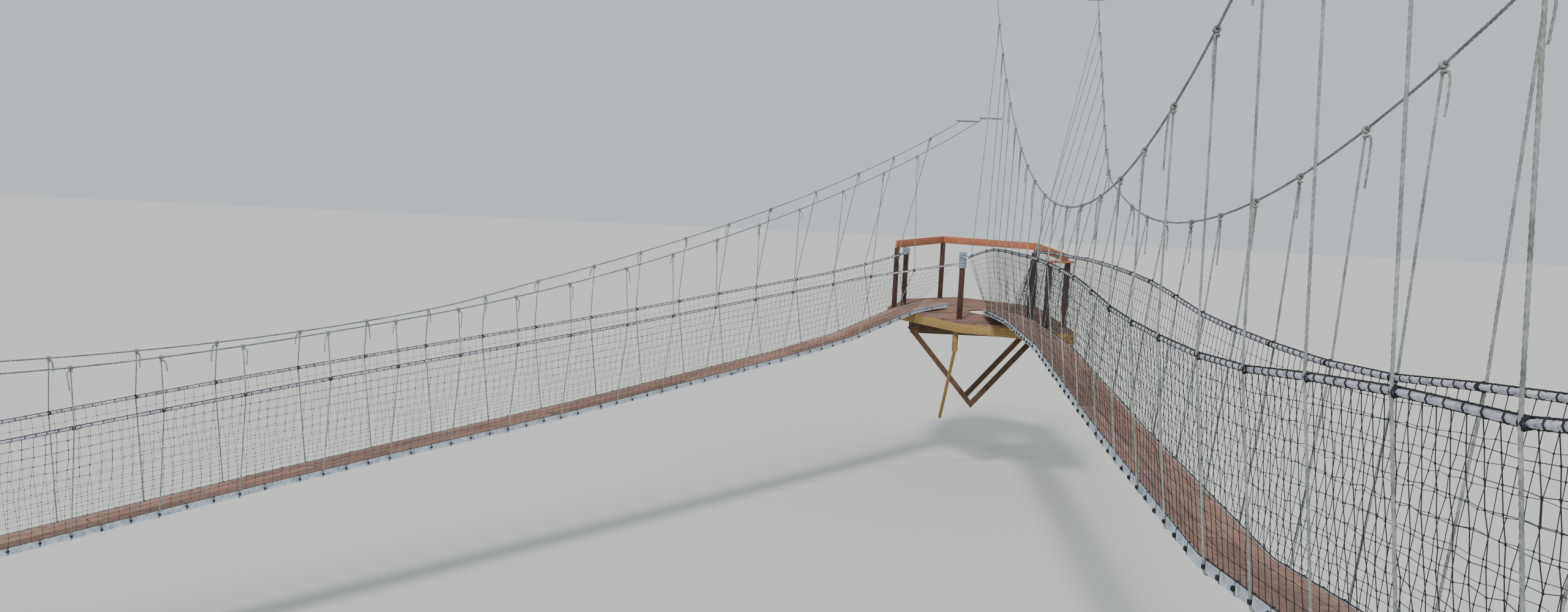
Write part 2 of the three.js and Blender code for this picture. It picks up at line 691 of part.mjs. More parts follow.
// The ring where a handrail meets the flat side of its post, in the span's own axes.
function postRing(group, side, centre, post, reach) {
  const approach = side.handrail(centre.x - 600);
  const from = group.localToWorld(at(centre.x - 600, side.y(approach.out), 0));
  const sideways = Math.abs(from.x - post.x) > Math.abs(from.y - post.y);
  const z = side.handrail(centre.x - 100).z;
  const across = new THREE.Vector3(0, 1, 0).applyQuaternion(group.quaternion);
  return Array.from({ length: 8 }, (_, i) => {
    const angle = (2 * Math.PI * i) / 8;
    const [flat, rise] = [HANDRAIL_RADIUS * Math.cos(angle), HANDRAIL_RADIUS * Math.sin(angle)];
    const local = sideways
      ? at(post.x + Math.sign(from.x - post.x) * reach, post.y + Math.sign(across.y) * flat, z + rise)
      : at(post.x + Math.sign(across.x) * flat, post.y + Math.sign(from.y - post.y) * reach, z + rise);
    return group.worldToLocal(local);
  });
}

buildFloor();
buildFascias();
buildBearersAndJoists();
buildBraces();
buildPosts();
buildTopRails();
for (const [name, span] of Object.entries(SPANS)) buildSpan(name, span);

export default bridge;
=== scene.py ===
# %% [markdown]
# # A rope suspension footbridge
# Two rope spans meet on a small timber platform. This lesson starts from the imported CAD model, which
# fixes every size and place, and dresses it: real knotted nets in place of plain sheets, laid ropes in
# place of square bars, softened timber, and a finish for each material. Everything is in metres.

# %% Load the frame
import math
import random

import bpy
import numpy as np
from mathutils import Matrix, Vector


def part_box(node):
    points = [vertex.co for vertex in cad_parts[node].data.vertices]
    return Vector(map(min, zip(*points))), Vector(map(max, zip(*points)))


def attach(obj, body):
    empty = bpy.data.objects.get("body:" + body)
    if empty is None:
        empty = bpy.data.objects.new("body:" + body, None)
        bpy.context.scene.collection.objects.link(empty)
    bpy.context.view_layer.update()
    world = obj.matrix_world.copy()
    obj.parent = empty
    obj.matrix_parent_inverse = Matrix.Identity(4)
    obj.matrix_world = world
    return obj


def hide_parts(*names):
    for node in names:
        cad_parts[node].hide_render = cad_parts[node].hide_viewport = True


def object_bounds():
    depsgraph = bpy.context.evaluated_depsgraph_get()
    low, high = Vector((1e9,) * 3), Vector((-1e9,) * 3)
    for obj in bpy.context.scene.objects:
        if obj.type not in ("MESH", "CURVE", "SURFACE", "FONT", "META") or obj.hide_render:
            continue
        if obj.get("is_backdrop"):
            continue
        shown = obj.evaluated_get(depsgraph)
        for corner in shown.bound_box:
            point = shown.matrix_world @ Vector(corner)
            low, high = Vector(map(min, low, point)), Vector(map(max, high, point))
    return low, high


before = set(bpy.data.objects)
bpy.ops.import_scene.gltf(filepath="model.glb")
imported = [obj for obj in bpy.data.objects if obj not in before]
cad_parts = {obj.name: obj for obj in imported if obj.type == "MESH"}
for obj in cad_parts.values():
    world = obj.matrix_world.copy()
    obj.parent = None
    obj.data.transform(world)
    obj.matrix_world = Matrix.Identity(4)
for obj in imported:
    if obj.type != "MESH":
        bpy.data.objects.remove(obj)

cad_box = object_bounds()
random.seed(7)
print("CAD nodes:", len(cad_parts))

# %% [markdown]
# ## Camera, floor and light
# The camera stands about 22 m in front of the platform, looking 7 degrees down and tilted a little to
# one side. The floor is a plain pale plane well under the bridge. A wide soft sky with one mild sun
# gives shade without hard edges.

# %% Camera
CAMERA_PLACE = (-3.86, -22.0, 3.01)
CAMERA_DOWN = 7.06
CAMERA_TILT = 2.606
CAMERA_LENS = 27.46


def add_camera():
    """Adds the camera and makes it the scene's own."""
    data = bpy.data.cameras.new("camera")
    data.lens = CAMERA_LENS
    data.sensor_width = 36.0
    data.sensor_fit = "HORIZONTAL"
    data.clip_end = 300.0
    camera = bpy.data.objects.new("camera", data)
    look = Matrix.Rotation(math.radians(90 - CAMERA_DOWN), 4, "X")
    tilt = Matrix.Rotation(math.radians(CAMERA_TILT), 4, "Z")
    camera.matrix_world = Matrix.Translation(CAMERA_PLACE) @ look @ tilt
    bpy.context.scene.collection.objects.link(camera)
    bpy.context.scene.camera = camera
    print("camera at", CAMERA_PLACE)


add_camera()


# %% Nothing selected
def nothing_selected():
    """Leaves edit mode and deselects everything, so that an operator acts on the new piece alone."""
    if bpy.context.object and bpy.context.object.mode != "OBJECT":
        bpy.ops.object.mode_set(mode="OBJECT")
    bpy.ops.object.select_all(action="DESELECT")


def pick(piece):
    """Makes one object the only selected and the active one."""
    nothing_selected()
    piece.select_set(True)
    bpy.context.view_layer.objects.active = piece


# %% Floor and light
FLOOR_DROP = 1.0
FLOOR_SIZE = 160.0


def add_stage():
    """Adds the pale floor, the sky and the sun."""
    nothing_selected()
    low = cad_box[0][2] - FLOOR_DROP
    bpy.ops.mesh.primitive_plane_add(size=FLOOR_SIZE, location=(-8, -6, low))
    floor = bpy.context.object
    floor.name = "stage_floor"
    material = bpy.data.materials.new("stage_floor")
    material.use_nodes = True
    shader = material.node_tree.nodes["Principled BSDF"]
    shader.inputs["Base Color"].default_value = (0.62, 0.63, 0.60, 1)
    shader.inputs["Roughness"].default_value = 0.95
    floor.data.materials.append(material)
    floor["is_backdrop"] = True
    world = bpy.data.worlds.new("sky")
    world.use_nodes = True
    sky = world.node_tree.nodes["Background"]
    sky.inputs["Color"].default_value = (0.86, 0.93, 1.0, 1)
    sky.inputs["Strength"].default_value = 0.75
    bpy.context.scene.world = world
    nothing_selected()
    bpy.ops.object.light_add(type="SUN", rotation=(math.radians(42), math.radians(-22), 0))
    sun = bpy.context.object
    sun.name = "sun"
    sun.data.energy = 2.6
    sun.data.angle = math.radians(9)
    sun.data.color = (1.0, 0.96, 0.88)
    print("floor at z", round(low, 3))


add_stage()

# %% [markdown]
# ## Finishes
# Every finish is built from the same few nodes: Object coordinates, which timber turns so that the
# grain follows the board, then noise at two sizes. The coarse noise moves the colour between a dark
# and a light tone, as weather does, and the fine noise gives the bump. Where boards lie side by side
# each one gets its own tone, because no two boards of a deck weather alike.

# %% Node helpers
def add_node(tree, kind, **settings):
    """Adds a node; settings name its properties."""
    node = tree.nodes.new(kind)
    for key, value in settings.items():
        setattr(node, key, value)
    return node


def start_finish(name, roughness, metallic=0.0):
    """A new material with its shader, and Object coordinates."""
    material = bpy.data.materials.new(name)
    material.use_nodes = True
    tree = material.node_tree
    shader = tree.nodes["Principled BSDF"]
    shader.inputs["Roughness"].default_value = roughness
    shader.inputs["Metallic"].default_value = metallic
    place = add_node(tree, "ShaderNodeTexCoord").outputs["Object"]
    return material, tree, shader, place


def turned(tree, place, turn, stretch):
    """Coordinates turned about Z to follow a piece, then scaled along each axis."""
    spin = add_node(tree, "ShaderNodeMapping")
    spin.inputs["Rotation"].default_value = (0, 0, -turn)
    tree.links.new(place, spin.inputs["Vector"])
    size = add_node(tree, "ShaderNodeMapping")
    size.inputs["Scale"].default_value = stretch
    tree.links.new(spin.outputs["Vector"], size.inputs["Vector"])
    return spin.outputs["Vector"], size.outputs["Vector"]


def noise(tree, vector, scale, detail=4.0, rough=0.6):
    """Noise between 0 and 1."""
    node = add_node(tree, "ShaderNodeTexNoise")
    node.inputs["Scale"].default_value = scale
    node.inputs["Detail"].default_value = detail
    node.inputs["Roughness"].default_value = rough
    tree.links.new(vector, node.inputs["Vector"])
    return node.outputs["Fac"]


def ramp(tree, value, stops):
    """Colours at places from 0 to 1."""
    node = add_node(tree, "ShaderNodeValToRGB")
    band = node.color_ramp
    while len(band.elements) < len(stops):
        band.elements.new(0.5)
    for element, (place, colour) in zip(band.elements, stops):
        element.position = place
        element.color = (*colour, 1)
    tree.links.new(value, node.inputs["Fac"])
    return node.outputs["Color"]


def blended(tree, share, first, second, way="MIX"):
    """Two colours mixed by a share, either of which may be a plain colour."""
    node = add_node(tree, "ShaderNodeMix", data_type="RGBA", blend_type=way)
    for value, socket in ((share, 0), (first, 6), (second, 7)):
        if isinstance(value, bpy.types.NodeSocket):
            tree.links.new(value, node.inputs[socket])
        elif isinstance(value, tuple):
            node.inputs[socket].default_value = (*value, 1)
        else:
            node.inputs[socket].default_value = value
    return node.outputs[2]


def sums(tree, operation, first, second):
    """One arithmetic step."""
    node = add_node(tree, "ShaderNodeMath", operation=operation)
    for socket, value in enumerate((first, second)):
        if isinstance(value, bpy.types.NodeSocket):
            tree.links.new(value, node.inputs[socket])
        else:
            node.inputs[socket].default_value = value
    return node.outputs[0]


def add_bump(tree, shader, height, distance, strength=0.6):
    """Bump from a height between 0 and 1, with its real depth in metres."""
    node = add_node(tree, "ShaderNodeBump")
    node.inputs["Strength"].default_value = strength
    node.inputs["Distance"].default_value = distance
    tree.links.new(height, node.inputs["Height"])
    tree.links.new(node.outputs["Normal"], shader.inputs["Normal"])


# %% Timber
def timber(name, tones, turn=0.0, along="X", board=0.0, shift=0.0, roughness=0.8, dirt=0.35):
    """Weathered timber. Tones run from dark to light; board is the pitch of boards laid side by side."""
    material, tree, shader, place = start_finish(name, roughness)
    grain = {"X": (1.2, 16, 16), "Y": (16, 1.2, 16), "Z": (16, 16, 1.2)}[along]
    straight, stretched = turned(tree, place, turn, grain)
    figure = noise(tree, stretched, 5.0, 6.0, 0.65)
    colour = ramp(tree, figure, [(0.3, tones[0]), (0.5, tones[1]), (0.72, tones[2])])
    if board:
        axes = add_node(tree, "ShaderNodeSeparateXYZ")
        tree.links.new(straight, axes.inputs[0])
        across = axes.outputs["Y" if along == "X" else "X"]
        row = sums(tree, "FLOOR", sums(tree, "DIVIDE", sums(tree, "ADD", across, shift), board), 0.0)
        lengths = sums(tree, "ADD", sums(tree, "DIVIDE", axes.outputs[along], 2.4),
                       sums(tree, "MULTIPLY", row, 0.37))
        piece_number = sums(tree, "ADD", sums(tree, "FLOOR", lengths, 0.0),
                            sums(tree, "MULTIPLY", row, 17.0))
        chance = add_node(tree, "ShaderNodeTexWhiteNoise", noise_dimensions="1D")
        tree.links.new(piece_number, chance.inputs["W"])
        tone = ramp(tree, chance.outputs["Value"], [(0.0, (0.62, 0.60, 0.60)), (1.0, (1.0, 1.0, 1.0))])
        colour = blended(tree, 1.0, colour, tone, "MULTIPLY")
        part = sums(tree, "FRACT", lengths, 0.0)
        joint = sums(tree, "LESS_THAN", part, 0.0035)
        colour = blended(tree, joint, colour, (0.02, 0.015, 0.012))
    stains = noise(tree, place, 2.3, 5.0, 0.7)
    dirty = ramp(tree, stains, [(0.42, (1, 1, 1)), (0.75, (0.45, 0.42, 0.38))])
    colour = blended(tree, dirt, colour, blended(tree, 1.0, colour, dirty, "MULTIPLY"))
    tree.links.new(colour, shader.inputs["Base Color"])
    add_bump(tree, shader, noise(tree, stretched, 14.0, 5.0, 0.7), 0.002)
    return material


# %% Rope, cord and metal
def rope_finish(name, tones, roughness=0.85, spot=None, scale=9.0):
    """Fibre rope: soft changes of tone along it and, where a spot is given, darker rubbed places."""
    material, tree, shader, place = start_finish(name, roughness)
    colour = ramp(tree, noise(tree, place, scale, 6.0, 0.7),
                  [(0.3, tones[0]), (0.52, tones[1]), (0.75, tones[2])])
    if spot:
        share = ramp(tree, noise(tree, place, 26.0, 3.0, 0.5), [(0.6, (0, 0, 0)), (0.72, (1, 1, 1))])
        colour = blended(tree, share, colour, spot)
    tree.links.new(colour, shader.inputs["Base Color"])
    add_bump(tree, shader, noise(tree, place, 420.0, 3.0, 0.6), 0.0008)
    return material


def worn_metal(name, tones, roughness=0.42, metallic=0.55):
    """Mill-finish aluminium that has hung outdoors: pale, scuffed and streaked with dark grime."""
    material, tree, shader, place = start_finish(name, roughness, metallic)
    scuffs = noise(tree, place, 22.0, 8.0, 0.72)
    colour = ramp(tree, scuffs, [(0.32, tones[0]), (0.48, tones[1]), (0.68, tones[2])])
    grime = ramp(tree, noise(tree, place, 5.0, 6.0, 0.75), [(0.56, (0, 0, 0)), (0.72, (1, 1, 1))])
    colour = blended(tree, grime, colour, (0.16, 0.17, 0.16))
    tree.links.new(colour, shader.inputs["Base Color"])
    rough = ramp(tree, scuffs, [(0.3, (0.7, 0.7, 0.7)), (0.7, (0.35, 0.35, 0.35))])
    tree.links.new(rough, shader.inputs["Roughness"])
    add_bump(tree, shader, noise(tree, place, 60.0, 6.0, 0.7), 0.0006)
    return material


# %% The finishes of this bridge
LEFT_HEADING = math.radians(90 - 43.754)
RIGHT_HEADING = math.radians(90 - 4.328)
PLANK_TONES = ((0.16, 0.09, 0.068), (0.36, 0.215, 0.165), (0.54, 0.365, 0.29))
PLANK_PITCH = 0.139
PLANK_SHIFT = 60.5 * PLANK_PITCH
FINISH = {
    "left_plank": timber("plank_left", PLANK_TONES, LEFT_HEADING, "X", PLANK_PITCH, PLANK_SHIFT),
    "right_plank": timber("plank_right", PLANK_TONES, RIGHT_HEADING, "X", PLANK_PITCH, PLANK_SHIFT),
    "floor": timber("floor_board", ((0.12, 0.062, 0.045), (0.29, 0.16, 0.115), (0.44, 0.27, 0.20)),
                    0.0, "X", 0.14, 2.24, 0.85, 0.6),
    "fascia": timber("fascia_board", ((0.15, 0.085, 0.03), (0.32, 0.20, 0.068), (0.47, 0.32, 0.13))),
    "frame": timber("frame_timber", ((0.04, 0.02, 0.012), (0.10, 0.055, 0.03), (0.20, 0.12, 0.06))),
    "brace": timber("brace_timber", ((0.04, 0.02, 0.012), (0.09, 0.048, 0.028), (0.17, 0.10, 0.05)),
                    0.0, "Z"),
    "stub": timber("stub_timber", ((0.12, 0.064, 0.024), (0.27, 0.165, 0.056), (0.41, 0.28, 0.11)),
                   0.0, "Z"),
    "post": timber("post_timber", ((0.02, 0.008, 0.006), (0.058, 0.022, 0.017), (0.12, 0.05, 0.038)),
                   0.0, "Z", roughness=0.7),
    "rail": timber("rail_timber", ((0.20, 0.062, 0.03), (0.42, 0.145, 0.075), (0.57, 0.26, 0.15))),
    "metal": worn_metal("ladder_metal", ((0.34, 0.38, 0.43), (0.62, 0.68, 0.76), (0.86, 0.90, 0.95))),
    "main": rope_finish("main_rope", ((0.10, 0.12, 0.13), (0.21, 0.24, 0.25), (0.36, 0.40, 0.43))),
    "hanger": rope_finish("hanger_rope",
                          ((0.12, 0.14, 0.13), (0.26, 0.295, 0.275), (0.45, 0.49, 0.465))),
    "handrail": rope_finish("handrail_rope",
                            ((0.27, 0.27, 0.34), (0.52, 0.52, 0.62), (0.74, 0.74, 0.82)),
                            0.7, (0.10, 0.10, 0.12)),
    "net": rope_finish("net_cord", ((0.006, 0.006, 0.008), (0.014, 0.015, 0.018), (0.035, 0.036, 0.04))),
    "wrap": rope_finish("post_wrap", ((0.13, 0.17, 0.22), (0.26, 0.32, 0.39), (0.42, 0.48, 0.55))),
}
print("finishes:", len(FINISH))

# %% [markdown]
# ## The shape of a span
# A span is known by a few curves over its length: the deck, the handrail above it, each main rope, and
# on each side how far the handrail and the main rope hang outside the deck's edge. The CAD solids
# follow the same numbers, so the ropes and nets that are laid here land where the solids are.

# %% Sizes shared with the solids
GAP = 0.0003
LADDER_EDGE = 0.228
RAIL_HEIGHT = 0.07
REST_CLEARANCE = 0.001
END_LIFT = 0.055
RUNG_PITCH = 0.28
RUNG_END = 0.2
FLOOR_TOP = 0.3
POST_HALF = 0.045
WRAP_THICK = 0.028
HANDRAIL_RADIUS = 0.014
HANGER_RADIUS = 0.008
MAIN_RADIUS = 0.0095
OVERHANG = 0.5
STOP_MARGIN = 0.06
PLACE_OF_POST = {
    "post_front_entry": (-0.73, -0.84),
    "post_left_entry": (-1.59, 0.64),
    "post_right_entry": (0.54, -0.75),
}


def ease(value, start, end):
    """Smooth step from 0 at start to 1 at end."""
    share = min(1.0, max(0.0, (value - start) / (end - start)))
    return share * share * (3 - 2 * share)


def left_deck(t):
    """Height of the left deck."""
    if t < 0:
        return -1.11 + 0.0984 * t + 0.004 * t ** 2
    return -1.11 + 0.0984 * t - 0.005135 * t ** 2 + 0.000368 * t ** 3


def right_deck(t):
    """Height of the right deck, with a shallow dip near its outer end and another past its middle."""
    dip = (0.06 * ease(t, -0.5, 1.5) * (1 - ease(t, 4, 6))
           + 0.07 * ease(t, 9.2, 13) - 0.03 * ease(t, 13, 15))
    return 1.004 - 0.1066 * t + 0.01786 * t ** 2 - 0.00083 * t ** 3 - dip


def right_outer_main(t):
    """Height of the right span's outer main rope, which climbs steeply to its sling."""
    if t < 6.4:
        return 2.58 + 0.0325 * (t - 6.4) ** 2
    if t < 11.76:
        return 2.58 + 0.044 * (t - 6.4) ** 2
    return 3.844 + 0.46 * (t - 11.76)


SPANS = {
    "left": {
        "end": (-0.933, 0.604), "heading": LEFT_HEADING, "inner_sign": -1, "first": -10.71,
        "rungs": (15, 15, 15, 15, 14, 5, 6, 3), "rest_from": 13.9,
        "deck": left_deck,
        "handrail": lambda t: 1.122 - 0.11 * ease(t, 9, 14),
        "inner": {
            "outset": lambda t: 0.18 + 0.64 * ease(t, 12, 14.1) ** 1.5,
            "post": "post_front_entry",
            "main": lambda t: 0.61 + 0.0147 * (t - 0.3) ** 2 + 0.095 * ease(t, -1, 3.5),
            "main_outset": lambda t: 0.14 + 0.3 * ease(t, 7, 15),
            "main_end": 15.05,
        },
        "outer": {
            "outset": lambda t: 0.18,
            "post": "post_left_entry",
            "main": lambda t: 0.61 + 0.0147 * (t - 0.3) ** 2 + 0.06 * ease(t, 4.4, 6.4),
            "main_outset": lambda t: 0.14 - 0.56 * ease(t, 7, 15.2),
            "main_end": 15.0,
        },
    },
    "right": {
        "end": (-0.013, -0.347), "heading": RIGHT_HEADING, "inner_sign": 1, "first": -2.16,
        "rungs": (14, 12, 14, 12, 7, 6), "rest_from": 16.7,
        "deck": right_deck,
        "handrail": lambda t: (1.1 + 0.1 * ease(t, -2.4, -0.4) - 0.2 * ease(t, 5.5, 12)
                               + 0.035 * ease(t, 10, 12.5) - 0.04 * ease(t, 14, 16.5)),
        "inner": {
            "outset": lambda t: 0.13 + 0.24 * ease(t, 14, 16.3) ** 1.5,
            "post": "post_front_entry",
            "main": lambda t: 2.65 + 0.038 * (t - 7.2) ** 2,
            "main_outset": lambda t: 0.12 + 0.0035 * max(0, 6.5 - t) ** 2,
            "main_end": 16.75,
        },
        "outer": {
            "outset": lambda t: 0.1 + 0.22 * ease(t, 14, 16.4) ** 1.5,
            "post": "post_right_entry",
            "main": right_outer_main,
            "main_outset": lambda t: 0.18 + 0.06 * ease(t, 5, 9) + 0.125 * max(0, t - 9.2),
            "main_end": 16.5,
        },
    },
}


# %% One span, laid out
class Span:
    """A span's ladders, rungs and heights, and its own axes: s along the deck, y across, z up."""

    def __init__(self, facts):
        self.facts = facts
        lengths = [count * RUNG_PITCH + 2 * RUNG_END - RUNG_PITCH for count in facts["rungs"]]
        self.joints = [sum(lengths[:i]) for i in range(len(lengths) + 1)]
        self.length = self.joints[-1]
        rest = FLOOR_TOP + REST_CLEARANCE + RAIL_HEIGHT
        self.heights = []
        for s in self.joints:
            t = facts["first"] + s
            self.heights.append(rest if t > facts["rest_from"] else facts["deck"](t))
        self.heights[-1] = rest + END_LIFT
        self.rungs = []
        for ladder, count in enumerate(facts["rungs"]):
            start = self.joints[ladder] + RUNG_END
            self.rungs += [start + i * RUNG_PITCH for i in range(count)]
        turn = facts["heading"]
        self.ahead = (math.cos(turn), math.sin(turn))
        self.origin = [facts["end"][i] - self.length * self.ahead[i] for i in (0, 1)]

    def height(self, s):
        """Top of the ladder rails; before the first joint and past the last the line runs on."""
        i = min(max(int(np.searchsorted(self.joints, s)) - 1, 0), len(self.joints) - 2)
        slope = (self.heights[i + 1] - self.heights[i]) / (self.joints[i + 1] - self.joints[i])
        return self.heights[i] + slope * (s - self.joints[i])

    def world(self, s, y, z):
        """A point of the span in the shared frame."""
        cos, sin = self.ahead
        return Vector((self.origin[0] + s * cos - y * sin, self.origin[1] + s * sin + y * cos, z))

    def local(self, x, y):
        """Where a plan position lies on the span: along it and across it."""
        cos, sin = self.ahead
        dx, dy = x - self.origin[0], y - self.origin[1]
        return dx * cos + dy * sin, dy * cos - dx * sin


# %% One side of a span
class Side:
    """The ropes of one side: their heights and how far they hang outside the deck's edge."""

    def __init__(self, span, name):
        facts = span.facts
        self.span = span
        self.facts = facts[name]
        self.sign = facts["inner_sign"] if name == "inner" else -facts["inner_sign"]
        self.main_length = self.facts["main_end"] - facts["first"]
        self.post_end, self.stop = self.find_post()
        last = self.stop - STOP_MARGIN
        self.hangers = [s for i, s in enumerate(span.rungs) if i % 3 == 1 and s < last]
        inside = [s for s in span.joints if STOP_MARGIN < s < last]
        self.stops = sorted(set(self.hangers + inside))
        self.rail_stops = [-OVERHANG] + self.stops + [self.stop]

    def y(self, out):
        """Sideways place of a rope a distance outside the deck's edge."""
        return self.sign * (LADDER_EDGE + out)

    def rail_curve(self, s):
        """The handrail's outset and height, as the smooth curve that its knots lie on."""
        t = self.span.facts["first"] + s
        return self.facts["outset"](t), self.span.facts["deck"](t) + self.span.facts["handrail"](t)

    def rail(self, s):
        """The handrail between its knots, where it runs straight."""
        i = min(max(int(np.searchsorted(self.rail_stops, s)) - 1, 0), len(self.rail_stops) - 2)
        a, b = self.rail_stops[i], self.rail_stops[i + 1]
        (out_a, z_a), (out_b, z_b) = self.rail_curve(a), self.rail_curve(b)
        share = (s - a) / (b - a)
        return out_a + (out_b - out_a) * share, z_a + (z_b - z_a) * share

    def main(self, s):
        """The main rope's outset and height."""
        t = self.span.facts["first"] + s
        return self.facts["main_outset"](t), self.facts["main"](t)

    def find_post(self):
        """Where the handrail meets its post, and where it leaves its own line for it."""
        span = self.span
        post = PLACE_OF_POST[self.facts["post"]]
        s, _ = span.local(*post)
        start = span.world(s - 0.6, self.y(self.rail_curve(s - 0.6)[0]), 0)
        reach = POST_HALF + GAP + (0 if self.facts["post"] == "post_right_entry" else WRAP_THICK)
        z = self.rail_curve(s - 0.1)[1]
        away = (start.x - post[0], start.y - post[1])
        sideways = abs(away[0]) > abs(away[1])
        if sideways:
            place = Vector((post[0] + math.copysign(reach, away[0]), post[1], z))
            spread = abs(span.ahead[1]) * HANDRAIL_RADIUS
        else:
            place = Vector((post[0], post[1] + math.copysign(reach, away[1]), z))
            spread = abs(span.ahead[0]) * HANDRAIL_RADIUS
        return place, span.local(place.x, place.y)[0] - spread - 0.04


SPAN = {name: Span(facts) for name, facts in SPANS.items()}
SIDES = {f"{name}_{side}": Side(span, side)
         for name, span in SPAN.items() for side in ("inner", "outer")}
for name, side in SIDES.items():
    print(name, "hangers:", len(side.hangers), "stop:", round(side.stop, 3))

# %% [markdown]
# ## Laid rope
# A rope of three strands shows three bulges that wind round it. Only a short length is modelled: a
# circle is pinched into three lobes and extruded a few times, each time with a part turn, until one lobe
# has moved to the place of the next. An Array modifier repeats that length and a Curve modifier bends
# the row along the rope's path, so the same short length serves every rope of the bridge.

# %% A short length of twisted rope
def twisted_length(name, radius, corners, step, steps, pinch=0.80):
    """One repeat of a three-strand rope along X; corners is a multiple of three."""
    nothing_selected()
    bpy.ops.mesh.primitive_circle_add(vertices=corners, radius=radius, rotation=(0, math.pi / 2, 0))
    piece = bpy.context.object
    piece.name = name
    bpy.ops.object.transform_apply(location=False, rotation=True, scale=False)
    for vertex in piece.data.vertices:
        angle = math.atan2(vertex.co.z, vertex.co.y)
        share = pinch + (1 - pinch) * (0.5 + 0.5 * math.cos(3 * angle))
        vertex.co.y *= share
        vertex.co.z *= share
    bpy.ops.object.mode_set(mode="EDIT")
    bpy.ops.mesh.select_all(action="SELECT")
    turn = 2 * math.pi / 3 / steps
    for i in range(steps):
        bpy.ops.mesh.extrude_region_move(TRANSFORM_OT_translate={"value": (step, 0, 0)})
        bpy.ops.transform.rotate(value=turn, orient_axis="X", center_override=((i + 1) * step, 0, 0))
    bpy.ops.object.mode_set(mode="OBJECT")
    piece["pitch"] = step * steps
    return piece


# %% A short length of served rope
def served_length(name, radius, corners, pitch, ridges, dip=0.9):
    """One repeat of a rope bound tightly with cord, whose turns show as ridges round it."""
    nothing_selected()
    bpy.ops.mesh.primitive_circle_add(vertices=corners, radius=radius * dip,
                                      rotation=(0, math.pi / 2, 0))
    piece = bpy.context.object
    piece.name = name
    bpy.ops.object.transform_apply(location=False, rotation=True, scale=False)
    bpy.ops.object.mode_set(mode="EDIT")
    bpy.ops.mesh.select_all(action="SELECT")
    for i in range(2 * ridges):
        grow = 1 / dip if i % 2 == 0 else dip
        centre = ((i + 1) * pitch / 2, 0, 0)
        bpy.ops.mesh.extrude_region_move(TRANSFORM_OT_translate={"value": (pitch / 2, 0, 0)})
        bpy.ops.transform.resize(value=(1, grow, grow), center_override=centre)
    bpy.ops.object.mode_set(mode="OBJECT")
    piece["pitch"] = pitch * ridges
    return piece


# %% Rope along a path
def path_length(points):
    """Length of a row of points."""
    return sum((b - a).length for a, b in zip(points, points[1:]))


def rope_along(template, points, name="rope"):
    """Repeats a short length along a path, closes its ends, and returns the finished mesh object."""
    length = path_length(points)
    count = max(1, round(length / template["pitch"]))
    line = bpy.data.curves.new(name + "_path", "CURVE")
    line.dimensions = "3D"
    spline = line.splines.new("POLY")
    spline.points.add(len(points) - 1)
    for place, point in zip(spline.points, points):
        place.co = (*point, 1)
    path = bpy.data.objects.new(name + "_path", line)
    bpy.context.scene.collection.objects.link(path)
    piece = template.copy()
    piece.data = template.data.copy()
    piece.name = name
    bpy.context.scene.collection.objects.link(piece)
    stretch = length / count / template["pitch"]
    piece.data.transform(Matrix.Diagonal((stretch, 1, 1, 1)))
    row = piece.modifiers.new("row", "ARRAY")
    row.count = count
    row.use_relative_offset = False
    row.use_constant_offset = True
    row.constant_offset_displace = (length / count, 0, 0)
    row.use_merge_vertices = True
    row.merge_threshold = 0.0004
    bend = piece.modifiers.new("bend", "CURVE")
    bend.object = path
    bend.deform_axis = "POS_X"
    pick(piece)
    bpy.ops.object.modifier_apply(modifier="row")
    bpy.ops.object.modifier_apply(modifier="bend")
    bpy.ops.object.mode_set(mode="EDIT")
    bpy.ops.mesh.select_all(action="SELECT")
    bpy.ops.mesh.fill_holes(sides=0)
    bpy.ops.mesh.select_all(action="SELECT")
    bpy.ops.mesh.normals_make_consistent(inside=False)
    bpy.ops.object.mode_set(mode="OBJECT")
    bpy.data.objects.remove(path)
    bpy.data.curves.remove(line)
    return piece


def joined(pieces, name, finish, smooth=40):
    """Joins objects into one finished piece with its finish, shaded smooth up to an angle."""
    nothing_selected()
    for piece in pieces:
        piece.select_set(True)
    bpy.context.view_layer.objects.active = pieces[0]
    if len(pieces) > 1:
        bpy.ops.object.join()
    piece = bpy.context.object
    piece.name = name
    piece.data.name = name
    piece.data.materials.clear()
    piece.data.materials.append(FINISH[finish])
    bpy.ops.object.shade_smooth_by_angle(angle=math.radians(smooth))
    piece.data.calc_loop_triangles()
    print(name, "triangles:", len(piece.data.loop_triangles))
    return piece


def finished(piece, slot, *nodes):
    """Says what a piece rides on and which solids it stands for; slot is not used."""
    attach(piece, "root")
    if nodes:
        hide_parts(*nodes)


# %% The short lengths
HANGER_LENGTH = twisted_length("hanger_length", HANGER_RADIUS, 6, 0.022, 2)
HANGER_NEAR_LENGTH = twisted_length("hanger_near_length", HANGER_RADIUS, 9, 0.0105, 3)
MAIN_LENGTH = twisted_length("main_length", MAIN_RADIUS, 6, 0.021, 2)
SERVED_LENGTH = served_length("served_length", HANDRAIL_RADIUS + 0.001, 6, 0.0155, 4, 0.86)
TEMPLATES = [HANGER_LENGTH, HANGER_NEAR_LENGTH, MAIN_LENGTH, SERVED_LENGTH]
print("short lengths:", len(TEMPLATES))

# %% [markdown]
# ## Main ropes and hangers
# Each main rope hangs in its curve and ends in a sling at both ends. The hangers are knotted on it
# every third rung. Each one comes down outside the handrail, turns under the ladder's rail and runs to
# the ladder's middle, where it meets the hanger of the other side.

# %% Routes
SLING_RADIUS = 0.21
SLING_CORNERS = 16
NEAR_REACH = 9.5


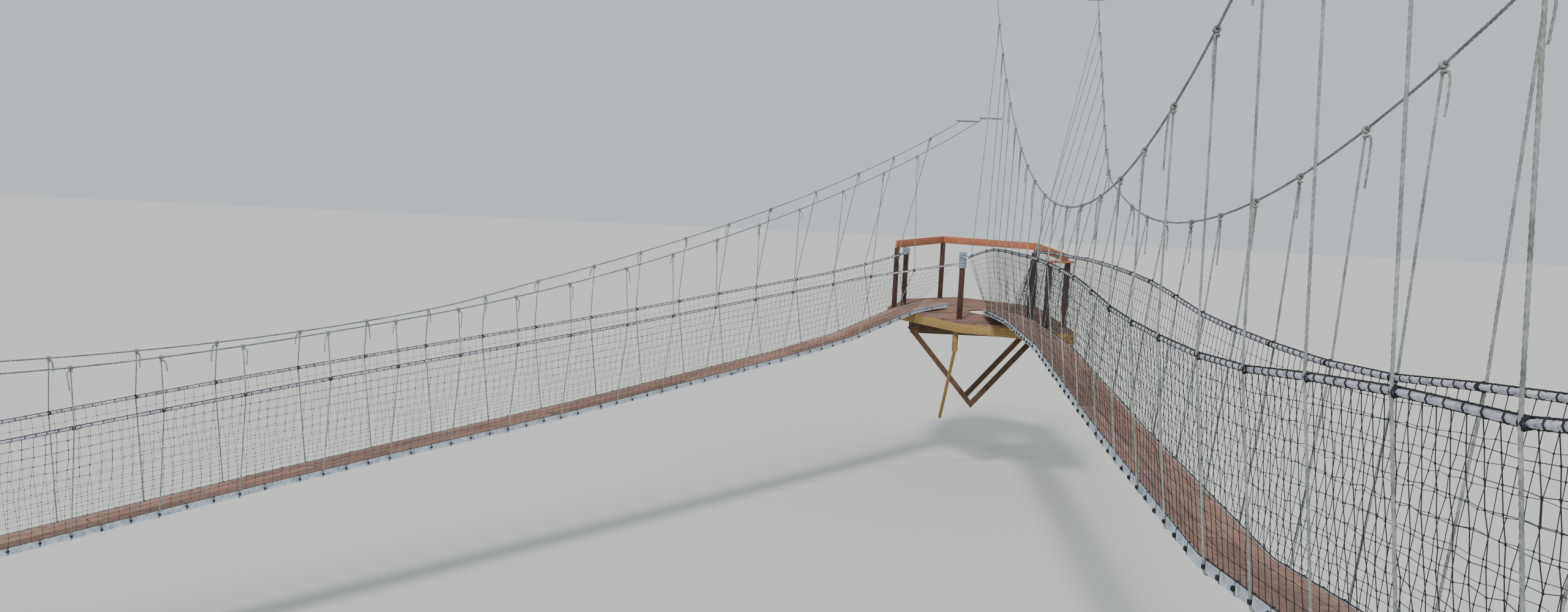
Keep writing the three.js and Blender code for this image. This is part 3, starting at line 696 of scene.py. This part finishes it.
def main_points(side):
    """The main rope from sling to sling."""
    steps = [-OVERHANG] + side.hangers + [side.main_length]
    fine = []
    for a, b in zip(steps, steps[1:]):
        fine += [a, (a + b) / 2]
    fine.append(steps[-1])
    points = []
    for s in fine:
        out, z = side.main(s)
        points.append(side.span.world(s, side.y(out), z))
    return points


def sling_points(side, s, way):
    """The closed ring at one end of a main rope."""
    out, z = side.main(s)
    points = []
    for i in range(SLING_CORNERS + 1):
        angle = math.pi + 2 * math.pi * i / SLING_CORNERS
        along = s + way * SLING_RADIUS * (1 + math.cos(angle))
        across = side.y(out) + SLING_RADIUS * math.sin(angle)
        points.append(side.span.world(along, across, z))
    return points


def hanger_points(side, s):
    """A hanger from its knot on the main rope to the middle of the ladder's underside."""
    out_top, z_top = side.main(s)
    out_hand, z_hand = side.rail_curve(s)
    under = side.span.height(s) - RAIL_HEIGHT - HANGER_RADIUS - 0.002
    clear = HANGER_RADIUS + HANDRAIL_RADIUS + 0.002
    corner = HANGER_RADIUS + 0.001
    route = [
        (out_top, z_top - MAIN_RADIUS),
        (out_hand + clear, z_hand),
        (corner + 0.002, under + 0.05),
        (corner - 0.002, under + 0.012),
        (corner - 0.012, under + 0.001),
        (-0.05, under),
        (-LADDER_EDGE, under),
    ]
    return [side.span.world(s, side.y(out), z) for out, z in route]


def is_near(point):
    """Whether a rope is close enough to the camera to show its lay."""
    return (point - Vector(CAMERA_PLACE)).length < NEAR_REACH


# %% Make the main ropes and hangers
def build_main_ropes(label, side):
    """One main rope with both slings, then its hangers."""
    ropes = [rope_along(MAIN_LENGTH, main_points(side))]
    for s, way in ((-OVERHANG, -1), (side.main_length, 1)):
        ropes.append(rope_along(MAIN_LENGTH, sling_points(side, s, way)))
    rope = joined(ropes, label + "_main_rope_laid", "main")
    finished(rope, "main_rope", label + "_main_rope")
    ropes = []
    for s in side.hangers:
        points = hanger_points(side, s)
        near = is_near(points[1]) or is_near(points[0])
        ropes.append(rope_along(HANGER_NEAR_LENGTH if near else HANGER_LENGTH, points))
    hangers = joined(ropes, label + "_hangers", "hanger")
    finished(hangers, "main_rope")


for label, side in SIDES.items():
    build_main_ropes(label, side)

# %% [markdown]
# ## Handrails
# The handrail is a thick rope served with cord, so it looks ridged. It runs straight from knot to knot
# and at the platform turns in to its post.

# %% Make the handrails
def handrail_points(side, lift=0.0, out_shift=0.0, start=-OVERHANG):
    """The handrail's path, or that of a cord which follows it a little above or outside."""
    places = [start] + [s for s in side.stops if start < s < side.stop] + [side.stop]
    points = []
    for s in places:
        out, z = side.rail(s)
        points.append(side.span.world(s, side.y(out + out_shift), z + lift))
    points.append(side.post_end + Vector((0, 0, lift)))
    return points


for label, side in SIDES.items():
    rope = rope_along(SERVED_LENGTH, handrail_points(side))
    rail = joined([rope], label + "_handrail_served", "handrail", 80)
    finished(rail, "handrail_rope", label + "_handrail")

# %% [markdown]
# ## Side nets
# The real net is knotted from black cord in meshes of about 10 cm. A grid with one face per mesh is
# laid between the ladder and the handrail, and every crossing is moved a few millimetres, since no
# hand-tied net hangs quite evenly. The Wireframe modifier turns the grid's edges into cord, and one
# small knot is modelled and repeated at the crossings.

# %% Copies of one shape
def repeated(template, frames, name):
    """One mesh that repeats a template at each frame: a place, and its X and Z directions."""
    mesh = template.data
    count = len(mesh.vertices)
    shape = np.array([v.co for v in mesh.vertices])
    faces = [tuple(polygon.vertices) for polygon in mesh.polygons]
    points, polygons = [], []
    for i, (place, along, up) in enumerate(frames):
        x_axis = Vector(along).normalized()
        y_axis = Vector(up).cross(x_axis).normalized()
        z_axis = x_axis.cross(y_axis)
        axes = np.array([x_axis, y_axis, z_axis])
        points.append(shape @ axes + np.array(place))
        polygons += [tuple(k + i * count for k in face) for face in faces]
    result = bpy.data.meshes.new(name)
    result.from_pydata(np.concatenate(points).tolist(), [], polygons)
    piece = bpy.data.objects.new(name, result)
    bpy.context.scene.collection.objects.link(piece)
    return piece


# %% One knot of the net
def net_knot():
    """A small faceted bead, pinched at its waist as a tied crossing is."""
    nothing_selected()
    bpy.ops.mesh.primitive_uv_sphere_add(segments=4, ring_count=2, radius=0.0058)
    knot = bpy.context.object
    knot.name = "net_knot_shape"
    bpy.ops.object.mode_set(mode="EDIT")
    bpy.ops.mesh.select_all(action="SELECT")
    bpy.ops.transform.resize(value=(1.3, 0.8, 0.9), center_override=(0, 0, 0))
    bpy.ops.object.mode_set(mode="OBJECT")
    return knot


# %% Make the nets
MESH_SIZE = 0.1
CORD = 0.0042
NET_SEAT = 0.0045
NET_FOOT_OUT = -0.008
NET_START = 0.03
NET_END_GAP = 0.02


def net_place(side, s, share):
    """A crossing of the net: share runs from 0 at the ladder to 1 at the handrail."""
    out_hand, z_hand = side.rail(s)
    low = (NET_FOOT_OUT, side.span.height(s) + NET_SEAT)
    high = (out_hand, z_hand - HANDRAIL_RADIUS - 0.003)
    out = low[0] + (high[0] - low[0]) * share
    z = low[1] + (high[1] - low[1]) * share
    slack = math.sin(math.pi * share)
    bulge = 0.010 * math.sin(1.9 * s) + 0.006 * math.sin(5.3 * s + 2.0 * share)
    out += slack * (bulge + random.uniform(-0.006, 0.006))
    z += slack * random.uniform(-0.009, 0.009)
    along = s + slack * (random.uniform(-0.010, 0.010) + 0.018 * math.sin(2.7 * s + 4 * share))
    return side.span.world(along, side.y(out), z)


def build_net(label, side, knot):
    """One side's net: cords and knots."""
    first, last = NET_START, side.stop - NET_END_GAP
    columns = round((last - first) / MESH_SIZE)
    middle = (first + last) / 2
    rows = round((side.rail(middle)[1] - side.span.height(middle)) / MESH_SIZE)
    nothing_selected()
    bpy.ops.mesh.primitive_grid_add(x_subdivisions=columns, y_subdivisions=rows, size=1)
    net = bpy.context.object
    for vertex in net.data.vertices:
        s = first + (last - first) * (vertex.co.x + 0.5)
        share = min(1.0, max(0.0, vertex.co.y + 0.5))
        vertex.co = net_place(side, s, share)
    ahead = Vector((*side.span.ahead, 0))
    crossings = [(v.co.copy(), ahead, (0, 0, 1)) for v in net.data.vertices]
    cord = net.modifiers.new("cord", "WIREFRAME")
    cord.thickness = CORD
    cord.use_replace = True
    cord.use_boundary = True
    cord.use_even_offset = False
    pick(net)
    bpy.ops.object.modifier_apply(modifier="cord")
    knots = repeated(knot, crossings, label + "_net_knots")
    piece = joined([net, knots], label + "_net_knotted", "net", 60)
    finished(piece, "net_cord", label + "_net")


KNOT = net_knot()
TEMPLATES.append(KNOT)
for label, side in SIDES.items():
    build_net(label, side, KNOT)

# %% [markdown]
# ## Cords on the handrail and the ladder
# A black head rope lies on the handrail, and rings of cord every 11 cm bind it, the handrail and the net
# together. A foot rope holds the net's lower edge on the ladder and is tied round the ladder's rail at
# each rung, with a knot on the rail's outer side. Where a hanger passes the handrail, heavy black turns
# lash the two together.

# %% Cord shapes
def cord_ring(name, width, height, thick, around=9, section=3):
    """One turn of cord round a rope that runs along X."""
    nothing_selected()
    bpy.ops.mesh.primitive_torus_add(major_segments=around, minor_segments=section, major_radius=1.0,
                                     minor_radius=thick, rotation=(0, math.pi / 2, 0))
    ring = bpy.context.object
    ring.name = name
    bpy.ops.object.transform_apply(location=False, rotation=True, scale=False)
    for vertex in ring.data.vertices:
        radius = math.hypot(vertex.co.y, vertex.co.z)
        extra = radius - 1.0
        vertex.co.y *= (width + extra) / radius
        vertex.co.z *= (height + extra) / radius
    return ring


def moved_copy(shape, shift, turn=0.0, axis="Z"):
    """A copy of a shape with its own mesh, turned and moved inside that mesh."""
    copy = shape.copy()
    copy.data = shape.data.copy()
    copy.data.transform(Matrix.Translation(shift) @ Matrix.Rotation(turn, 4, axis))
    bpy.context.scene.collection.objects.link(copy)
    return copy


def merged_shape(parts, name):
    """Joins the parts of a shape that is going to be repeated."""
    nothing_selected()
    for part in parts:
        part.select_set(True)
    bpy.context.view_layer.objects.active = parts[0]
    bpy.ops.object.join()
    parts[0].name = name
    TEMPLATES.append(parts[0])
    return parts[0]


def lashing_shape():
    """Five turns round handrail and hanger together, with two turns across them."""
    ring = cord_ring("lashing_turn", 0.0225, 0.0175, 0.0032)
    turns = [moved_copy(ring, (i * 0.0066, 0.006, 0), 0.05 * (-1) ** i) for i in (-2, -1, 0, 1, 2)]
    across = cord_ring("lashing_cross", 0.015, 0.024, 0.003)
    turns += [moved_copy(across, (0, 0.016, 0), way * 0.75) for way in (-1, 1)]
    bpy.data.objects.remove(ring)
    bpy.data.objects.remove(across)
    return merged_shape(turns, "lashing_shape")


LASHING = lashing_shape()
BAND = cord_ring("band_shape", 0.0165, 0.0185, 0.0036, 8, 3)
HEAD_LENGTH = twisted_length("head_length", 0.0048, 6, 0.05, 1)
FOOT_LENGTH = twisted_length("foot_length", 0.0036, 6, 0.05, 1)
TEMPLATES += [BAND, HEAD_LENGTH, FOOT_LENGTH]

# %% Ties round the ladder's rail
TIE_CORD = 0.0022
TIE_ROUTE = [(-0.018, 0.0105), (-0.001, 0.0105), (0.0035, 0.003)]
TIE_ROUTE += [(0.0035, -0.07), (0.001, -0.0735), (-0.018, -0.0735)]


def tie_shape():
    """A cord that hugs the outer side of the rail: extruded along its route from one short end."""
    nothing_selected()
    bpy.ops.mesh.primitive_circle_add(vertices=4, radius=TIE_CORD, rotation=(math.pi / 2, 0, 0),
                                      location=(0, TIE_ROUTE[0][0], TIE_ROUTE[0][1]))
    tie = bpy.context.object
    tie.name = "tie_shape"
    bpy.ops.object.transform_apply(location=True, rotation=True, scale=False)
    bpy.ops.object.mode_set(mode="EDIT")
    bpy.ops.mesh.select_all(action="SELECT")
    heading = 0.0
    for (y_a, z_a), (y_b, z_b) in zip(TIE_ROUTE, TIE_ROUTE[1:]):
        bpy.ops.mesh.extrude_region_move(TRANSFORM_OT_translate={"value": (0, y_b - y_a, z_b - z_a)})
        turn = math.atan2(z_b - z_a, y_b - y_a) - heading
        heading += turn
        bpy.ops.transform.rotate(value=-turn / 2, orient_axis="X", center_override=(0, y_b, z_b))
    bpy.ops.mesh.select_all(action="SELECT")
    bpy.ops.mesh.fill_holes(sides=0)
    bpy.ops.mesh.normals_make_consistent(inside=False)
    bpy.ops.object.mode_set(mode="OBJECT")
    TEMPLATES.append(tie)
    return tie


TIE = tie_shape()


# %% A knot on the outside of the ladder's rail
RAIL_KNOT_SIZE = (0.0075, 0.0145, 0.0058)
RAIL_KNOT_PLACE = (0, 0.0135, -0.034)
RAIL_KNOT_TURNS = (-0.6, 0.5, math.pi / 2)
RAIL_KNOT_DROP = (-0.012, 0.008)


def rail_knot_shape():
    """Three turns of cord crossed over one another, half way down the rail."""
    ring = cord_ring("rail_knot_turn", *RAIL_KNOT_SIZE, 6, 3)
    turns = [moved_copy(ring, RAIL_KNOT_PLACE, turn, "Y") for turn in RAIL_KNOT_TURNS]
    bpy.data.objects.remove(ring)
    return merged_shape(turns, "rail_knot_shape")


RAIL_KNOT = rail_knot_shape()


# %% Lay the cords
HEAD_LIFT = 0.0045
FOOT_LIFT = 0.0045
BAND_GAPS = (0.09, 0.128)
TIE_STEPS = (-0.004, 0.006)


def rail_direction(side, s):
    """Which way the handrail runs at a place."""
    ends = []
    for place in (s - 0.02, s + 0.02):
        out, z = side.rail(place)
        ends.append(side.span.world(place, side.y(out), z))
    return ends[1] - ends[0]


def build_cords(label, side):
    """Head rope, foot rope, bands, lashings and ties of one side."""
    span = side.span
    up = Vector((0, 0, 1))
    head = handrail_points(side, HANDRAIL_RADIUS + HEAD_LIFT, 0.003, -0.3)
    parts = [rope_along(HEAD_LENGTH, head)]
    foot = []
    for s in [NET_START] + side.stops + [side.stop - NET_END_GAP]:
        foot.append(span.world(s, side.y(NET_FOOT_OUT), span.height(s) + FOOT_LIFT))
    parts.append(rope_along(FOOT_LENGTH, foot))
    bands, s = [], -0.25
    while s < side.stop - 0.05:
        out, z = side.rail(s)
        direction = rail_direction(side, s) + Vector((0, 0, random.uniform(-0.006, 0.006)))
        bands.append((span.world(s, side.y(out), z + 0.002), direction, up))
        s += random.uniform(*BAND_GAPS)
    parts.append(repeated(BAND, bands, "bands"))
    lashings = []
    for s in side.hangers:
        out, z = side.rail_curve(s)
        lashings.append((span.world(s, side.y(out), z), rail_direction(side, s), up))
    shape = LASHING if side.sign > 0 else MIRRORED_LASHING
    parts.append(repeated(shape, lashings, "lashings"))
    ties, rail_knots = [], []
    ahead = Vector((*span.ahead, 0))
    for s in span.rungs:
        if s < side.stop - 0.05:
            for step in TIE_STEPS:
                ties.append((span.world(s + step, side.y(0), span.height(s)), ahead, up))
            drop = random.uniform(*RAIL_KNOT_DROP)
            rail_knots.append((span.world(s, side.y(0), span.height(s) + drop), ahead, up))
    parts.append(repeated(TIE if side.sign > 0 else MIRRORED_TIE, ties, "ties"))
    parts.append(repeated(RAIL_KNOT if side.sign > 0 else MIRRORED_RAIL_KNOT, rail_knots, "rail_knots"))
    piece = joined(parts, label + "_cords", "net", 50)
    finished(piece, "net_cord")


def mirrored_shape(shape, name):
    """The same shape for the other side of the deck, its faces turned outwards again."""
    copy = moved_copy(shape, (0, 0, 0))
    copy.name = name
    copy.data.transform(Matrix.Diagonal((1, -1, 1, 1)))
    copy.data.flip_normals()
    TEMPLATES.append(copy)
    return copy


MIRRORED_LASHING = mirrored_shape(LASHING, "mirrored_lashing")
MIRRORED_TIE = mirrored_shape(TIE, "mirrored_tie")
MIRRORED_RAIL_KNOT = mirrored_shape(RAIL_KNOT, "mirrored_rail_knot")
for label, side in SIDES.items():
    build_cords(label, side)

# %% [markdown]
# ## Knots on the main ropes
# Each hanger is tied to the main rope with a few turns, and the rest of its end hangs loose below the
# knot. The turns are one shape, repeated; the loose ends are short ropes of different lengths.

# %% Make the knots and loose ends
TAIL_LENGTHS = {"left": (0.08, 0.18), "right": (0.14, 0.38)}


def main_knot_shape():
    """Three turns round the main rope and one round the hanger under it."""
    ring = cord_ring("knot_turn", 0.0165, 0.0165, 0.0066, 9, 5)
    turns = [moved_copy(ring, (i * 0.0125, 0, 0), 0.12 * i) for i in (-1, 0, 1)]
    collar = cord_ring("knot_collar", 0.0145, 0.0145, 0.006, 9, 5)
    turns.append(moved_copy(collar, (0, 0, -0.036), math.pi / 2, "Y"))
    bpy.data.objects.remove(ring)
    bpy.data.objects.remove(collar)
    return merged_shape(turns, "main_knot_shape")


MAIN_KNOT = main_knot_shape()


def loose_end(side, s, lengths):
    """A rope end that leaves the knot sideways and hangs down."""
    out, z = side.main(s)
    length = random.uniform(*lengths)
    swing = random.uniform(-0.03, 0.03)
    way = random.choice((-1, 1))
    shifts = [(0.010, 0.004, -0.030), (0.030, 0.014, -0.036), (0.040, 0.018, -0.060)]
    shifts.append((0.044 + swing / 2, 0.020, -0.06 - length / 2))
    shifts.append((0.046 + swing, 0.016, -0.06 - length))
    return [side.span.world(s + way * a, side.y(out + b), z + c) for a, b, c in shifts]


def build_knots(label, side):
    """The knots of one main rope, with their loose ends."""
    knots, ends = [], []
    for s in side.hangers:
        points = []
        for place in (s - 0.05, s + 0.05):
            out, z = side.main(place)
            points.append(side.span.world(place, side.y(out), z))
        centre = (points[0] + points[1]) / 2
        knots.append((centre, points[1] - points[0], (0, 0, 1)))
        ends.append(rope_along(HANGER_LENGTH, loose_end(side, s, TAIL_LENGTHS[label.split("_")[0]])))
    piece = joined([repeated(MAIN_KNOT, knots, "knots")] + ends, label + "_knots", "hanger", 60)
    finished(piece, "main_rope")


for label, side in SIDES.items():
    build_knots(label, side)

# %% [markdown]
# ## Rope wound round two posts
# Two of the posts where handrails end carry a winding. A square turn of rope is a circle pulled
# towards the corners of the post; the turns are stacked as high as the winding is.

# %% Make the windings
WINDING_RADIUS = 0.0138


def square_turn():
    """One turn round a square post: a ring whose corners are rounded."""
    nothing_selected()
    bpy.ops.mesh.primitive_torus_add(major_segments=24, minor_segments=8, major_radius=1.0,
                                     minor_radius=WINDING_RADIUS)
    turn = bpy.context.object
    turn.name = "square_turn"
    reach = POST_HALF + 0.001 + WINDING_RADIUS * 0.5
    for vertex in turn.data.vertices:
        angle = math.atan2(vertex.co.y, vertex.co.x)
        radius = math.hypot(vertex.co.x, vertex.co.y)
        side_reach = reach / max(abs(math.cos(angle)), abs(math.sin(angle)))
        corner = min(side_reach, reach * 1.30) + (radius - 1.0)
        vertex.co.x = corner * math.cos(angle)
        vertex.co.y = corner * math.sin(angle)
    TEMPLATES.append(turn)
    return turn


SQUARE_TURN = square_turn()


def build_winding(node, name):
    """Stacks turns inside the height of the CAD sleeve and leans each a little."""
    low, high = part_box(node)
    middle = (low + high) / 2
    count = int((high.z - low.z) / (WINDING_RADIUS * 1.9))
    pitch = (high.z - low.z - 2 * WINDING_RADIUS) / (count - 1)
    frames = []
    for i in range(count):
        place = (middle.x, middle.y, low.z + WINDING_RADIUS + i * pitch)
        frames.append((place, (1, random.uniform(-0.02, 0.02), 0.05), (0, 0, 1)))
    piece = joined([repeated(SQUARE_TURN, frames, name)], name, "wrap", 50)
    finished(piece, "post_wrap", node)


build_winding("rope_wrap_left", "rope_winding_left")
build_winding("rope_wrap_front", "rope_winding_front")

# %% [markdown]
# ## Softened timber
# Worn timber has rounded edges, which catch the light. Each post, rail, beam, brace and edge board of
# the CAD model is copied, its loose triangles are merged, and a Bevel modifier rounds the edges. The
# copy then stands for the solid.

# %% Soften the timber
def softened(node, width, finish, slot):
    """A copy of a CAD solid with rounded edges."""
    nothing_selected()
    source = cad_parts[node]
    copy = bpy.data.objects.new(node + "_worn", source.data.copy())
    bpy.context.scene.collection.objects.link(copy)
    pick(copy)
    bpy.ops.object.mode_set(mode="EDIT")
    bpy.ops.mesh.select_all(action="SELECT")
    bpy.ops.mesh.remove_doubles(threshold=0.00005)
    bpy.ops.mesh.dissolve_limited(angle_limit=math.radians(0.5))
    bpy.ops.object.mode_set(mode="OBJECT")
    round_edges = copy.modifiers.new("round_edges", "BEVEL")
    round_edges.width = width
    round_edges.segments = 2
    round_edges.limit_method = "ANGLE"
    round_edges.angle_limit = math.radians(40)
    round_edges.use_clamp_overlap = True
    bpy.ops.object.modifier_apply(modifier="round_edges")
    piece = joined([copy], node + "_worn", finish, 35)
    finished(piece, slot, node)


for node in sorted(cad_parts):
    if node.startswith("post_"):
        softened(node, 0.005, "post", "post_timber")
    elif node.startswith("top_rail") or node == "cap_board":
        softened(node, 0.004, "rail", "rail_timber")
    elif node.startswith("fascia"):
        softened(node, 0.003, "fascia", "fascia_board")
    elif node.startswith("v_brace"):
        softened(node, 0.004, "brace", "frame_timber")
    elif node.startswith("corner"):
        softened(node, 0.004, "stub", "frame_timber")
    elif node.startswith(("bearer", "joist")):
        softened(node, 0.003, "frame", "frame_timber")

# %% Finishes for the solids that stay
for node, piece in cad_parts.items():
    piece.data.materials.clear()
    if "ladder" in node:
        piece.data.materials.append(FINISH["metal"])
    elif "planks" in node:
        piece.data.materials.append(FINISH[node.split("_")[0] + "_plank"])
    else:
        piece.data.materials.append(FINISH["floor"])

# %% Put the shapes away
for shape in TEMPLATES:
    bpy.data.objects.remove(shape)

# %% Sizes
boxes = {"cad": cad_box, "visual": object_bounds()}
for name, box in boxes.items():
    print(name, [round(v, 3) for corner in box for v in corner])
